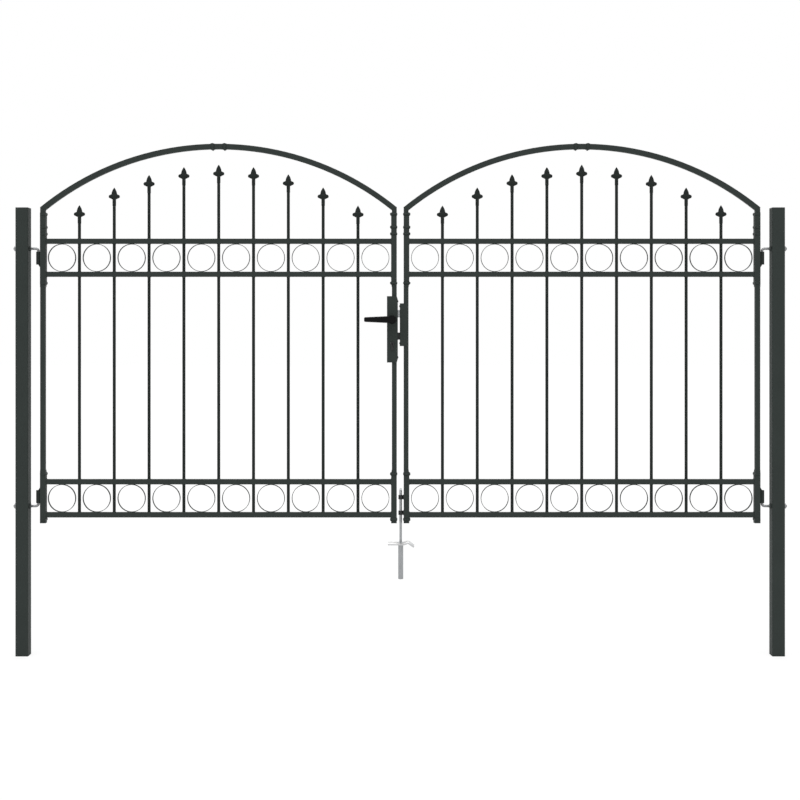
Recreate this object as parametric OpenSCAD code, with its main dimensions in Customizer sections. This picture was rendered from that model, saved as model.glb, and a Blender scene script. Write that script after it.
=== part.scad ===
// Arched double garden gate of welded steel tube, with its posts, lock and drop bolt.
// Sizes are in millimetres. The origin is the middle of the left post's foot.
// X runs along the gate, Y runs from its front to its back, and Z is up.

/* [Posts] */
// Width over both posts
overall_w = 3000; // [2700:10:3300]
// Side of the square post tube
post_w = 50; // [44:1:60]
// Wall of the post tube
post_wall = 2; // [1.5:0.25:4]
// Corner radius of the post tube
post_r = 4; // [2:0.5:8]
// Height of a post from its foot to the top of its cap
post_h = 1750; // [1650:10:1950]
// Thickness of the cap above the tube
cap_t = 4; // [2:0.5:8]
// Depth of the cap's plug in the tube
cap_plug = 18; // [8:1:40]
// Slack round the cap's plug
cap_play = 0.2; // [0.1:0.05:0.5]
// Chamfer round the top of a cap
cap_edge = 1.5; // [0.5:0.25:1.75]

/* [Leaf frame] */
// Gap from a post to the hinge stile
hinge_gap = 43; // [38:0.5:60]
// Gap between the two meeting stiles
meeting_gap = 27; // [25:0.5:32]
// Height of the stiles' lower ends
leaf_bottom = 517; // [480:1:525]
// How far the corner of arch and stile stands above the posts
corner_over = 2; // [-40:1:60]
// Rise of the arch from its corners to its top
arch_rise = 248; // [180:1:320]
// Width of the arch tube seen from the front
arch_w = 21; // [18:0.5:24]
// Side of the rail tubes, and depth of the arch and the stiles
tube = 20; // [18:0.5:22]
// Width of a stile seen from the front
stile_w = 19; // [17:0.5:22]
// Wall of the frame tubes
tube_wall = 1.5; // [1:0.25:2.5]
// Corner radius of the frame tubes
tube_r = 2; // [1:0.25:3]

/* [Rails] */
// Drop of the top rail's underside below the corner
top_rail_drop = 143; // [130:1:170]
// Clear height of both ring bands, between a pair of rails
ring_band = 109.2; // [90:0.2:120]
// Height of the bottom rail's underside above the stiles' ends
bottom_rail_up = 22; // [20:0.5:40]

/* [Pickets and rings] */
// Number of pickets in a leaf
picket_n = 9; // [7:1:9]
// Diameter of a picket
picket_d = 12; // [10:0.5:13]
// Wall of a picket
picket_wall = 1; // [0.75:0.25:2]
// Slack between a picket and its punched hole
picket_play = 0.15; // [0.1:0.05:0.4]
// Thickness of a ring's strip
ring_t = 2; // [1.5:0.25:3]
// Width of a ring's strip, front to back
ring_w = 12; // [8:0.5:16]
// Room for the weld between a ring and a rail
ring_seat = 0.15; // [0.1:0.05:0.3]
// Gap between an end ring and the stile
end_gap = 10.2; // [8:0.2:16]

/* [Spear tips] */
// Distance from the underside of the arch to the tips
tip_clear = 59.5; // [50:0.5:80]
// Height of a blade above its wings
blade_h = 36; // [30:1:44]
// Width of a blade at its base
blade_w = 21; // [18:0.5:26]
// Thickness of a blade at its base
blade_t = 11; // [9:0.5:14]
// Width over the wings' knobs
wing_w = 44; // [38:1:52]
// Diameter of a wing's knob
knob_d = 14; // [12:0.5:16]
// Diameter of the arm that carries the knobs
wing_arm_d = 10.5; // [8:0.5:11.5]
// Height of the neck below the wings
neck_h = 11.5; // [9:0.5:16]
// Diameter of the neck where it meets the blade
neck_d = 13; // [11:0.5:16]
// Height that is left off a blade's sharp point
tip_blunt = 0.5; // [0.3:0.1:1]
// Length of the ferrule below the neck
ferrule_h = 24; // [18:0.5:30]
// Wall of the ferrule
ferrule_wall = 0.8; // [0.6:0.1:2]
// Depth of the ferrule's socket
ferrule_socket = 16; // [8:0.5:17]

/* [Stile sleeves] */
// How far a sleeve stands out towards the pickets
sleeve_out = 3; // [2:0.25:5]
// Thickness of a sleeve on the front and back
sleeve_wall = 2; // [1:0.25:3]
// Slack between a sleeve and its stile
sleeve_play = 0.15; // [0.1:0.05:0.3]
// Thickness of a sleeve's feathered end
sleeve_lip = 0.6; // [0.4:0.1:1]
// Length of a sleeve's feathered end
sleeve_taper = 16; // [12:1:24]
// Radius of a bead's round
bead_r = 6; // [5:0.25:7]
// How far a bead stands out of its sleeve
bead_out = 4.4; // [3:0.1:5]
// How far a bead stands out on the open side of its sleeve
bead_back = 2.4; // [1.6:0.1:3]
// Drops of the three upper beads below the arch's corner
upper_beads = [27, 78, 104];
// Drop of an upper sleeve's last bead below the second rail
foot_bead = 24.3; // [22:0.1:30]
// Height of a lower sleeve's first bead above the third rail
head_bead = 20.8; // [18:0.1:28]
// Height of the last bead above the stile's end
end_bead = 14; // [8:0.5:15]

/* [Arch splice] */
// Distance between the middles of the two collars at the top of the arch
collar_pitch = 47; // [40:1:60]
// Length of a collar along the arch
collar_l = 11; // [9:0.5:14]
// Thickness of a collar beside its bead
collar_wall = 1; // [0.6:0.1:1.6]
// Radius of a collar's bead
collar_bead_r = 5; // [4:0.25:6]
// How far a collar's bead stands out of the arch tube
collar_out = 2.4; // [1.8:0.1:3.2]

/* [Hinges] */
// Drop of the upper hinge barrel's middle below the top rail
upper_hinge_drop = 56; // [48:1:70]
// Height of the lower hinge barrel's middle above the bottom rail
lower_hinge_up = 61; // [50:1:70]
// Diameter of a hinge barrel
barrel_d = 17.5; // [15:0.5:19]
// Length of a hinge barrel
barrel_l = 50; // [40:1:60]
// Length of the weld foot at a barrel's far end
barrel_foot = 14; // [8:1:20]
// Thickness of the web between a barrel and its stile
barrel_web = 10; // [6:0.5:12]
// Diameter of the hinge bolt and its pin
pin_d = 10; // [8:0.5:11]
// Running slack round the pin
pin_play = 0.1; // [0.05:0.01:0.15]
// Bend radius of the hinge bolt at its middle line
pin_bend = 10; // [8:0.5:12]
// How far a pin stops short of its barrel's end
pin_short = 2; // [1:0.5:5]
// Chamfer at the ends of the hinge bolts, the drop rod and its socket
rod_edge = 1; // [0.5:0.25:2]
// Distance from a barrel's end to the hinge bolt's shank
shank_rise = 12; // [11:0.5:16]
// How far the shank comes out of the post's outer side
shank_end = 12; // [10:0.5:20]
// Slack round the shank in the post and the nuts
shank_play = 0.1; // [0.05:0.05:0.3]
// Width across a nut's flats
nut_w = 17; // [15:0.5:19]
// Height of a nut
nut_h = 5.5; // [4.5:0.5:9]

/* [Lock] */
// Width of the lock case
case_w = 42.4; // [40:0.2:48]
// Height of the lock case
case_h = 259; // [240:1:280]
// Depth of the lock case
case_d = 30; // [28:1:36]
// Drop of the lock case's top below the second rail
case_drop = 75.8; // [60:0.2:140]
// Wall of the lock case
case_wall = 2; // [1.5:0.25:3]
// Corner radius of the lock case
case_r = 3; // [2:0.5:5]
// How far the lock's front stands out of the stile
case_out = 4.2; // [2:0.2:5]
// Length of the slope at either end of the lock's front
case_slope = 14; // [8:1:24]
// Thickness of both bolts
bolt_t = 12; // [10:0.5:14]
// Length of both bolts
bolt_l = 40; // [38:0.5:44]
// Slack round the bolts
bolt_play = 0.3; // [0.2:0.05:0.5]
// Chamfer at the dead bolt's end
bolt_edge = 1; // [0.5:0.25:2]
// Thickness of the latch's nose
latch_nose = 3; // [2:0.5:5]
// How far the bolts reach past the strike's face
bolt_reach = 9.6; // [8:0.2:10]
// Height of the latch
latch_h = 29; // [26:0.5:32]
// Height of the latch's underside above the lock case's foot
latch_up = 176; // [175:0.5:178]
// Height of the dead bolt
dead_h = 28; // [24:0.5:30]
// Height of the dead bolt's underside above the lock case's foot
dead_up = 89; // [87:0.5:93]
// Height of the lock cylinder's round head above the lock case's foot
cylinder_up = 72; // [69:0.5:74]
// Diameter of the lock cylinder's round head
cylinder_d = 17; // [16:0.5:18]
// Width of the lock cylinder's tail
cylinder_tail_w = 10; // [8:0.5:12]
// Drop of the cylinder's tail below the round head's middle
cylinder_drop = 24.5; // [20:0.5:27]
// How far the lock cylinder comes out of the case
cylinder_out = 3; // [1:0.5:6]
// Slack round the lock cylinder
cylinder_play = 0.15; // [0.1:0.05:0.3]
// Width of the keyway
key_w = 2.5; // [2:0.25:3.5]
// Height of the keyway
key_h = 9; // [7:0.5:11]
// Depth of the keyway
key_deep = 12; // [6:1:15]

/* [Lever] */
// Height of the lever's spindle above the lock case's foot
lever_up = 167.5; // [165:0.5:168]
// Distance of the spindle from the lock's front
lever_set = 21.7; // [19:0.1:23]
// Side of the square spindle
spindle_w = 8; // [7:0.5:8]
// Slack round the spindle's corners
spindle_play = 0.4; // [0.3:0.05:0.6]
// Diameter of a rosette
rosette_d = 33; // [30:0.5:36]
// Thickness of a rosette
rosette_t = 6; // [4:0.5:9]
// Chamfer round a rosette
rosette_edge = 2; // [1:0.25:3]
// Gap between a lever's neck and its rosette
neck_gap = 0.4; // [0.3:0.05:0.8]
// Diameter of a lever's neck
lever_neck_d = 20; // [18:0.5:24]
// Reach of a lever's neck in front of its rosette
lever_neck_l = 34; // [28:1:50]
// Length of a lever from its spindle
lever_l = 109; // [95:1:125]
// Height of a lever at its root
lever_root_h = 28.5; // [24:0.5:30]
// Height of a lever at its tip
lever_tip_h = 18.5; // [15:0.5:21]
// Thickness of a lever between its flats
lever_t = 13; // [10:0.5:14]
// Corner radius of a lever's root
lever_root_r = 11; // [7:0.5:11]
// Corner radius of a lever's tip
lever_tip_r = 5; // [3:0.5:7]

/* [Strike] */
// Height of the strike's lower end above the lock case's foot
strike_up = 64; // [55:1:70]
// Height of the strike
strike_h = 167; // [162:1:180]
// Thickness of the strike's sheet
strike_t = 2.5; // [1.5:0.25:3]
// Radius of the strike's folds
strike_r = 3; // [2:0.25:5]
// Distance from the meeting stile to the strike's face
strike_set = 15.1; // [14:0.1:16]
// Room round a bolt in its slot
slot_room = 0.6; // [0.4:0.1:1.5]

/* [Drop bolt] */
// Diameter of the drop rod
drop_d = 10; // [8:0.5:11]
// Distance from the meeting stile to the rod's axis
drop_set = 11.5; // [11:0.1:12.5]
// Depth of the rod's lower end in the socket
drop_in = 50; // [30:1:55]
// Height of the bent top above the stiles' ends
drop_up = 131; // [127:1:160]
// Bend radius of the rod at its middle line
drop_bend = 12; // [8:0.5:14]
// Reach of the bent top towards the back
drop_grip = 52; // [40:1:70]
// Diameter of a guide eye
eye_d = 18; // [16:0.5:19]
// Height of a guide eye
eye_h = 16; // [10:0.5:20]
// Thickness of the lug that carries an eye
eye_lug = 8; // [6:0.5:10]
// Slack round the rod in its eyes
eye_play = 0.3; // [0.2:0.05:0.5]
// Height of the upper eye's underside above the stiles' ends
upper_eye_up = 93; // [80:1:95]
// Height of the lower eye's underside above the stiles' ends
lower_eye_up = 32; // [25:1:45]

/* [Ground socket] */
// Gap between the stiles' ends and the socket's rim in the ground
ground_gap = 74; // [60:0.5:110]
// Length of the socket
socket_l = 141; // [100:1:180]
// Diameter of the socket
socket_d = 20; // [18:0.5:26]
// Slack round the rod in the socket
socket_play = 0.4; // [0.3:0.05:0.7]
// Thickness of the socket's floor and of its anchor strap
anchor_t = 6; // [3:0.5:8]
// Width of the anchor strap, front to back
anchor_w = 60; // [40:1:80]
// How far the socket's rim stands above the strap
rim_up = 2.5; // [1:0.5:6]
// Reach of the flat wing from the socket's middle
flat_wing = 48; // [36:1:70]
// Places of the bent wing's folds, out from the socket and up from the flat wing
bent_wing = [[14, 0], [22, 3], [34, 3], [53, -10]];

/* [Hidden] */
$fn = 48;
// How far a cut runs past the faces that it opens
over = 1;
// Number of runs in a quarter round that is turned on an axis
round_n = 6;

coat = "#3a3f3d";
zinc = "#9a9da0";
bright = "#d4d6d8";
black = "#1c1d1e";

// Places along the gate
span = overall_w - post_w;
leaf_x = post_w / 2 + hinge_gap;
leaf_w = span / 2 - leaf_x - meeting_gap / 2;
half = leaf_w / 2;

// Heights above the posts' feet
corner_z = post_h + corner_over;
apex_z = corner_z + arch_rise;
top_rail_z = corner_z - top_rail_drop;
second_rail_z = top_rail_z - ring_band - tube;
bottom_rail_z = leaf_bottom + bottom_rail_up;
third_rail_z = bottom_rail_z + tube + ring_band;

// The arch is a round whose outer edge passes the two corners and the top
arch_r = (half * half + arch_rise * arch_rise) / (2 * arch_rise);
arch_z = apex_z - arch_r;
inner_r = arch_r - arch_w;
tip_r = inner_r - tip_clear;
function round_z(r, x) = arch_z + sqrt(r * r - (x - half) * (x - half));

// The mitre runs from the arch's outer corner to its inner one
mitre_fall = corner_z - round_z(inner_r, stile_w);
function mitre_z(x) = corner_z - x * mitre_fall / stile_w;

// Rings and pickets share one pitch
ring_d = ring_band - 2 * ring_seat;
pitch = (leaf_w - 2 * stile_w - 2 * end_gap - ring_d) / picket_n;
function picket_x(i) = half + (i - (picket_n - 1) / 2) * pitch;
function ring_x(i) = half + (i - picket_n / 2) * pitch;
tip_drop = blade_h + neck_h + ferrule_h;
sleeve_x = stile_w + sleeve_out;

// Hinges
pin_set = barrel_d / 2;
pin_x = leaf_x - pin_set;
upper_hinge_z = top_rail_z - upper_hinge_drop;
lower_hinge_z = bottom_rail_z + tube + lower_hinge_up;
upper_shank_z = upper_hinge_z + barrel_l / 2 + shank_rise;
lower_shank_z = lower_hinge_z - barrel_l / 2 - shank_rise;

// Lock, bolts and strike, measured along the left leaf
case_face = leaf_w + case_out;
case_x = case_face - case_w;
case_top = second_rail_z - case_drop;
case_z = case_top - case_h;
latch_z = case_z + latch_up;
dead_z = case_z + dead_up;
cylinder_z = case_z + cylinder_up;
lever_z = case_z + lever_up;
strike_z = case_z + strike_up;
spindle_x = case_face - lever_set;
strike_face = leaf_w + meeting_gap - strike_set;
bolt_tip = strike_face + bolt_reach;

// Drop bolt, measured along the whole gate
drop_x = span / 2 + meeting_gap / 2 - drop_set;
socket_top = leaf_bottom - ground_gap;
drop_bottom = socket_top - drop_in;
drop_top = leaf_bottom + drop_up;

// Shared shapes
module left_leaf() {
    translate([leaf_x, 0, 0]) children();
}

module right_leaf() {
    translate([span - leaf_x, 0, 0]) mirror([1, 0, 0]) children();
}

module right_side() {
    translate([span, 0, 0]) mirror([1, 0, 0]) children();
}

// A flat shape drawn in X and Z, given a depth in Y
module across(depth) {
    rotate([90, 0, 0]) linear_extrude(depth, center = true) children();
}

// A flat shape drawn in Y and Z, given a length along X
module lengthwise(length) {
    rotate([90, 0, 90]) linear_extrude(length) children();
}

module rounded(w, d, r) {
    square([w - 2 * r, d], center = true);
    square([w, d - 2 * r], center = true);
    for (x = [r - w / 2, w / 2 - r], y = [r - d / 2, d / 2 - r])
        translate([x, y]) circle(r);
}

module hollow(w, d, r, wall) {
    difference() {
        rounded(w, d, r);
        square([w - 2 * wall, d - 2 * wall], center = true);
    }
}

// A round rod that stands on a chamfered end
module chamfered_rod(d, h) {
    cylinder(d1 = d - 2 * rod_edge, d2 = d, h = rod_edge);
    translate([0, 0, rod_edge]) cylinder(d = d, h = h - rod_edge);
}

// Posts and their caps
module post() {
    difference() {
        linear_extrude(post_h - cap_t) rounded(post_w, post_w, post_r);
        translate([0, 0, post_wall])
            linear_extrude(post_h) square(post_w - 2 * post_wall, center = true);
        for (z = [upper_shank_z, lower_shank_z])
            translate([-post_w, 0, z]) rotate([0, 90, 0])
                cylinder(d = pin_d + 2 * shank_play, h = 2 * post_w);
    }
}

// Side view of a cap's top, with its upper edges chamfered
module cap_side() {
    polygon([
        [-post_w / 2, 0],
        [post_w / 2, 0],
        [post_w / 2, cap_t - cap_edge],
        [post_w / 2 - cap_edge, cap_t],
        [cap_edge - post_w / 2, cap_t],
        [-post_w / 2, cap_t - cap_edge]
    ]);
}

module post_cap() {
    plug_w = post_w - 2 * post_wall - 2 * cap_play;
    translate([0, 0, post_h - cap_t]) intersection() {
        linear_extrude(cap_t) rounded(post_w, post_w, post_r);
        across(post_w) cap_side();
        rotate([0, 0, 90]) across(post_w) cap_side();
    }
    translate([0, 0, post_h - cap_t - cap_plug]) linear_extrude(cap_plug) difference() {
        square(plug_w, center = true);
        square(plug_w - 2 * cap_t, center = true);
    }
}

// Hinge bolts: a shank through the post, bent into the pin
module hinge_bolt(pin_l) {
    shank_x = -post_w / 2 - shank_end;
    bend_x = pin_x - pin_bend;
    translate([shank_x, 0, 0]) rotate([0, 90, 0]) chamfered_rod(pin_d, bend_x - shank_x);
    translate([bend_x, 0, -pin_bend]) rotate([90, 0, 0])
        rotate_extrude(angle = 90) translate([pin_bend, 0]) circle(d = pin_d);
    translate([pin_x, 0, -pin_l]) chamfered_rod(pin_d, pin_l - pin_bend);
}

module hinge_bolts() {
    pin_l = shank_rise + barrel_l - pin_short;
    translate([0, 0, upper_shank_z]) hinge_bolt(pin_l);
    translate([0, 0, lower_shank_z]) mirror([0, 0, 1]) hinge_bolt(pin_l);
}

// A hexagon nut with both faces turned down to its flats
module nut() {
    corner = nut_w / 2 / cos(30);
    fall = (corner - nut_w / 2) * tan(30);
    difference() {
        intersection() {
            cylinder(r = corner, h = nut_h, $fn = 6);
            rotate_extrude() polygon([
                [0, 0],
                [nut_w / 2, 0],
                [corner, fall],
                [corner, nut_h - fall],
                [nut_w / 2, nut_h],
                [0, nut_h]
            ]);
        }
        translate([0, 0, -over]) cylinder(d = pin_d + 2 * shank_play, h = nut_h + 2 * over);
    }
}

module hinge_nuts() {
    for (z = [upper_shank_z, lower_shank_z], x = [-post_w / 2 - nut_h, post_w / 2])
        translate([x, 0, z]) rotate([0, 90, 0]) nut();
}

// A barrel with its web and weld foot, the foot at the lower end
module hinge_barrel() {
    difference() {
        union() {
            translate([-pin_set, 0, -barrel_l / 2]) cylinder(d = barrel_d, h = barrel_l);
            translate([-pin_set, -barrel_web / 2, -barrel_l / 2])
                cube([pin_set, barrel_web, barrel_l]);
            across(barrel_web) polygon([
                [-pin_set, -barrel_l / 2],
                [0, -barrel_l / 2 - barrel_foot],
                [0, -barrel_l / 2]
            ]);
        }
        translate([-pin_set, 0, -barrel_l]) cylinder(d = pin_d + 2 * pin_play, h = 2 * barrel_l);
    }
}

module hinge_barrels() {
    translate([0, 0, upper_hinge_z]) hinge_barrel();
    translate([0, 0, lower_hinge_z]) mirror([0, 0, 1]) hinge_barrel();
}

// Leaf frame: a hinge stile at x = 0, the meeting stile at the other end
module stile() {
    spare = tube;
    intersection() {
        translate([stile_w / 2, 0, leaf_bottom])
            linear_extrude(corner_z - leaf_bottom + spare)
                hollow(stile_w, tube, tube_r, tube_wall);
        across(2 * tube) polygon([
            [-spare, leaf_bottom],
            [stile_w + spare, leaf_bottom],
            [stile_w + spare, mitre_z(stile_w + spare)],
            [-spare, mitre_z(-spare)]
        ]);
    }
}

module at_meeting_end() {
    translate([leaf_w, 0, 0]) mirror([1, 0, 0]) children();
}

module arch_round() {
    translate([half, 0, arch_z]) rotate([90, 0, 0]) rotate_extrude($fn = 192)
        translate([arch_r - arch_w / 2, 0]) children();
}

module arch() {
    spare = tube;
    intersection() {
        arch_round() hollow(arch_w, tube, tube_r, tube_wall);
        across(2 * tube) polygon([
            [stile_w, mitre_z(stile_w)],
            [-spare, mitre_z(-spare)],
            [-spare, apex_z + spare],
            [leaf_w + spare, apex_z + spare],
            [leaf_w + spare, mitre_z(-spare)],
            [leaf_w - stile_w, mitre_z(stile_w)]
        ]);
    }
}

// Outline of a collar with a bead on either side of a tube that is w wide
module collar_outline(w) {
    square([collar_l, w + 2 * collar_wall], center = true);
    for (side = [-1, 1])
        translate([0, side * (w / 2 + collar_out - collar_bead_r)]) circle(collar_bead_r);
}

// Two beaded collars, square to the arch, on either side of its top
module arch_splice() {
    turn = asin(collar_pitch / 2 / (arch_r - arch_w / 2));
    deep = 2 * (arch_w + tube);
    difference() {
        for (side = [-1, 1])
            translate([half, 0, arch_z]) rotate([0, side * turn, 0])
                translate([0, 0, arch_r - arch_w / 2]) intersection() {
                    across(deep) collar_outline(arch_w);
                    linear_extrude(deep, center = true) collar_outline(tube);
                }
        arch_round() square([arch_w + 2 * sleeve_play, tube + 2 * sleeve_play], center = true);
    }
}

// Rails run between the sleeves and are punched for the pickets
module rail(z, punched) {
    difference() {
        translate([sleeve_x, 0, z + tube / 2])
            lengthwise(leaf_w - 2 * sleeve_x) hollow(tube, tube, tube_r, tube_wall);
        if (punched)
            for (i = [0 : picket_n - 1])
                translate([picket_x(i), 0, z - over])
                    cylinder(d = picket_d + 2 * picket_play, h = tube + 2 * over);
    }
}

module upper_rails() {
    rail(top_rail_z, true);
    rail(second_rail_z, true);
}

module lower_rails() {
    rail(third_rail_z, true);
    rail(bottom_rail_z, false);
}

module pickets() {
    foot = bottom_rail_z + tube;
    for (i = [0 : picket_n - 1])
        translate([picket_x(i), 0, foot]) difference() {
            height = round_z(tip_r, picket_x(i)) - tip_drop + ferrule_socket - foot;
            cylinder(d = picket_d, h = height);
            translate([0, 0, -over])
                cylinder(d = picket_d - 2 * picket_wall, h = height + 2 * over);
        }
}

// A row of rings in the band above the rail at z
module ring_row(z) {
    for (i = [0 : picket_n])
        translate([ring_x(i), 0, z + tube + ring_band / 2]) rotate([90, 0, 0]) difference() {
            cylinder(d = ring_d, h = ring_w, center = true, $fn = 64);
            cylinder(d = ring_d - 2 * ring_t, h = 2 * ring_w, center = true, $fn = 64);
        }
}

module upper_rings() {
    ring_row(second_rail_z);
}

module lower_rings() {
    ring_row(bottom_rail_z);
}

// A pointed arch, cut a little below its point
module ogive(w, h) {
    r = (w * w / 4 + h * h) / w;
    intersection() {
        translate([r - w / 2, 0]) circle(r, $fn = 96);
        translate([w / 2 - r, 0]) circle(r, $fn = 96);
        translate([-w, 0]) square([2 * w, h - tip_blunt]);
    }
}

// A cast spear: a four-sided blade, two knobs on an arm, a neck and a ferrule.
// Its origin is between the knobs.
module spear_tip() {
    ferrule_d = picket_d + 2 * picket_play + 2 * ferrule_wall;
    intersection() {
        across(blade_w) ogive(blade_w, blade_h);
        translate([-blade_w, 0, 0]) lengthwise(2 * blade_w) ogive(blade_t, blade_h);
    }
    arm = wing_w / 2 - knob_d / 2;
    translate([-arm, 0, 0]) rotate([0, 90, 0]) cylinder(d = wing_arm_d, h = 2 * arm);
    for (x = [-arm, arm])
        translate([x, 0, 0]) rotate([0, 90, 0]) sphere(d = knob_d);
    translate([0, 0, -neck_h]) cylinder(d1 = ferrule_d, d2 = neck_d, h = neck_h + over);
    difference() {
        translate([0, 0, -neck_h - ferrule_h]) cylinder(d = ferrule_d, h = ferrule_h);
        translate([0, 0, -neck_h - ferrule_h - over])
            cylinder(d = picket_d + 2 * picket_play, h = ferrule_socket + over);
    }
}

module spear_tips() {
    for (i = [0 : picket_n - 1])
        translate([picket_x(i), 0, round_z(tip_r, picket_x(i)) - blade_h]) spear_tip();
}

// Outline of a sleeve between two faces, feathered to the stile's faces at one end
module sleeve_outline(low, high, low_lip, high_lip, back, beads, taper_z, full_z) {
    polygon([[low_lip, taper_z], [low, full_z[0]], [low, full_z[1]],
        [high, full_z[1]], [high, full_z[0]], [high_lip, taper_z]]);
    for (z = beads) {
        translate([high + bead_out - bead_r, z]) circle(bead_r);
        translate([low - back + bead_r, z]) circle(bead_r);
        translate([low, z - bead_r]) square([high - low, 2 * bead_r]);
    }
}

// A moulded sleeve round a stile, open along the stile's outer face
module sleeve(beads, taper_z, full_z) {
    side = tube / 2 + sleeve_wall;
    lip = tube / 2 + sleeve_lip;
    difference() {
        intersection() {
            across(4 * tube) sleeve_outline(0, sleeve_x, 0, stile_w + sleeve_lip, bead_back,
                beads, taper_z, full_z);
            translate([-tube, 0, 0]) lengthwise(4 * tube)
                sleeve_outline(-side, side, -lip, lip, bead_out, beads, taper_z, full_z);
        }
        translate([-sleeve_play, -tube / 2 - sleeve_play, 0])
            cube([stile_w + 2 * sleeve_play, tube + 2 * sleeve_play, apex_z]);
    }
}

module stile_sleeves() {
    first = corner_z - upper_beads[0];
    foot = second_rail_z - foot_bead;
    head = third_rail_z + tube + head_bead;
    tops = [for (drop = upper_beads) corner_z - drop];
    for (end = [0, 1])
        translate([end * leaf_w, 0, 0]) mirror([end, 0, 0]) {
            sleeve(concat(tops, [foot]), foot - sleeve_taper, [foot, first + bead_r]);
            sleeve([head, leaf_bottom + end_bead], head + sleeve_taper, [head, leaf_bottom]);
        }
}

// Lock on the left leaf
module cylinder_outline(grow) {
    circle(d = cylinder_d + 2 * grow);
    translate([-cylinder_tail_w / 2 - grow, -cylinder_drop - grow])
        square([cylinder_tail_w + 2 * grow, cylinder_drop + grow]);
}

module bolt_slot(z, h, grow) {
    translate([case_x + case_wall, -bolt_t / 2 - grow, z - grow])
        cube([case_w + bolt_l, bolt_t + 2 * grow, h + 2 * grow]);
}

module lock_case_shape() {
    difference() {
        intersection() {
            translate([case_x + case_w / 2, 0, case_z])
                linear_extrude(case_h) rounded(case_w, case_d, case_r);
            across(2 * case_d) polygon([
                [case_x, case_z],
                [leaf_w, case_z],
                [case_face, case_z + case_slope],
                [case_face, case_top - case_slope],
                [leaf_w, case_top],
                [case_x, case_top]
            ]);
        }
        translate([case_x + case_wall, -case_d / 2 + case_wall, case_z + case_slope])
            cube([case_w - 2 * case_wall, case_d - 2 * case_wall, case_h - 2 * case_slope]);
        bolt_slot(latch_z, latch_h, bolt_play);
        bolt_slot(dead_z, dead_h, bolt_play);
        translate([spindle_x, 0, lever_z]) rotate([90, 0, 0])
            cylinder(d = spindle_w * sqrt(2) + 2 * spindle_play, h = 2 * case_d, center = true);
        translate([spindle_x, 0, cylinder_z]) across(2 * case_d) cylinder_outline(cylinder_play);
    }
}

module lock_cylinder_shape() {
    long = case_d + 2 * cylinder_out;
    translate([spindle_x, 0, cylinder_z]) difference() {
        across(long) cylinder_outline(0);
        for (side = [-1, 1])
            translate([0, side * long / 2, 0]) across(2 * key_deep)
                square([key_w, key_h], center = true);
    }
}

module rosettes() {
    hole = lever_neck_d + 2 * neck_gap;
    for (side = [0, 1])
        mirror([0, side, 0]) translate([spindle_x, -case_d / 2, lever_z]) rotate([90, 0, 0])
            difference() {
                union() {
                    cylinder(d = rosette_d, h = rosette_t - rosette_edge);
                    translate([0, 0, rosette_t - rosette_edge])
                        cylinder(d1 = rosette_d, d2 = rosette_d - 2 * rosette_edge, h = rosette_edge);
                }
                translate([0, 0, -over]) cylinder(d = hole, h = rosette_t + 2 * over);
            }
}

// Points along a quarter round about a middle, from one angle on
function quarter(middle, r, from) =
    [for (i = [0 : round_n]) middle + r * [cos(from + 90 * i / round_n), sin(from + 90 * i / round_n)]];

// Half of a lever's side view: its radius against the distance from the spindle
module lever_half() {
    root = [lever_root_h / 2 - lever_root_r, lever_root_r - lever_root_h / 2];
    tip = [lever_tip_h / 2 - lever_tip_r, lever_l - lever_tip_r];
    polygon(concat(
        [[0, -lever_root_h / 2]],
        quarter(root, lever_root_r, -90),
        quarter(tip, lever_tip_r, 0),
        [[0, lever_l]]
    ));
}

// One lever's arm, pointing to the hinges: a turned taper with a flat on the front and the back
module lever_arm() {
    intersection() {
        rotate([0, -90, 0]) rotate_extrude() lever_half();
        cube([3 * lever_l, lever_t, 2 * lever_root_h], center = true);
    }
}

module lever_pair() {
    inside = case_d / 2 + neck_gap;
    translate([spindle_x, 0, lever_z]) {
        cube([spindle_w, 2 * inside, spindle_w], center = true);
        for (side = [0, 1])
            mirror([0, side, 0]) {
                translate([0, -inside, 0]) rotate([90, 0, 0])
                    cylinder(d = lever_neck_d, h = rosette_t + lever_neck_l);
                translate([0, -inside - rosette_t - lever_neck_l, 0])
                    lever_arm();
            }
    }
}

// A latch with its nose cut back on the front, and a plain dead bolt
module latch_shape() {
    translate([bolt_tip, 0, latch_z]) linear_extrude(latch_h) polygon([
        [-bolt_l, -bolt_t / 2],
        [latch_nose - bolt_t, -bolt_t / 2],
        [0, bolt_t / 2 - latch_nose],
        [0, bolt_t / 2],
        [-bolt_l, bolt_t / 2]
    ]);
}

module dead_bolt_shape() {
    translate([bolt_tip, 0, dead_z]) linear_extrude(dead_h) polygon([
        [-bolt_l, -bolt_t / 2],
        [-bolt_edge, -bolt_t / 2],
        [0, bolt_edge - bolt_t / 2],
        [0, bolt_t / 2 - bolt_edge],
        [-bolt_edge, bolt_t / 2],
        [-bolt_l, bolt_t / 2]
    ]);
}

// Section of the folded strike, open towards its stile, with its face at x = 0
module strike_section() {
    deep = tube + 2 * strike_t;
    long = strike_set + stile_w;
    difference() {
        union() {
            translate([-long, -deep / 2]) square([long - strike_r, deep]);
            translate([-long, strike_r - deep / 2]) square([long, deep - 2 * strike_r]);
            for (side = [-1, 1])
                translate([-strike_r, side * (deep / 2 - strike_r)]) circle(strike_r);
        }
        translate([-long - over, -tube / 2]) square([long + over - strike_t, tube]);
    }
}

// Folded strike on the right leaf's meeting stile, slotted for both bolts
module strike_shape() {
    difference() {
        translate([leaf_w + strike_set, 0, strike_z])
            linear_extrude(strike_h) strike_section();
        for (bolt = [[latch_z, latch_h], [dead_z, dead_h]])
            translate([leaf_w, -bolt_t / 2 - slot_room, bolt[0] - slot_room])
                cube([2 * strike_set, bolt_t + 2 * slot_room, bolt[1] + 2 * slot_room]);
    }
}

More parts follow.
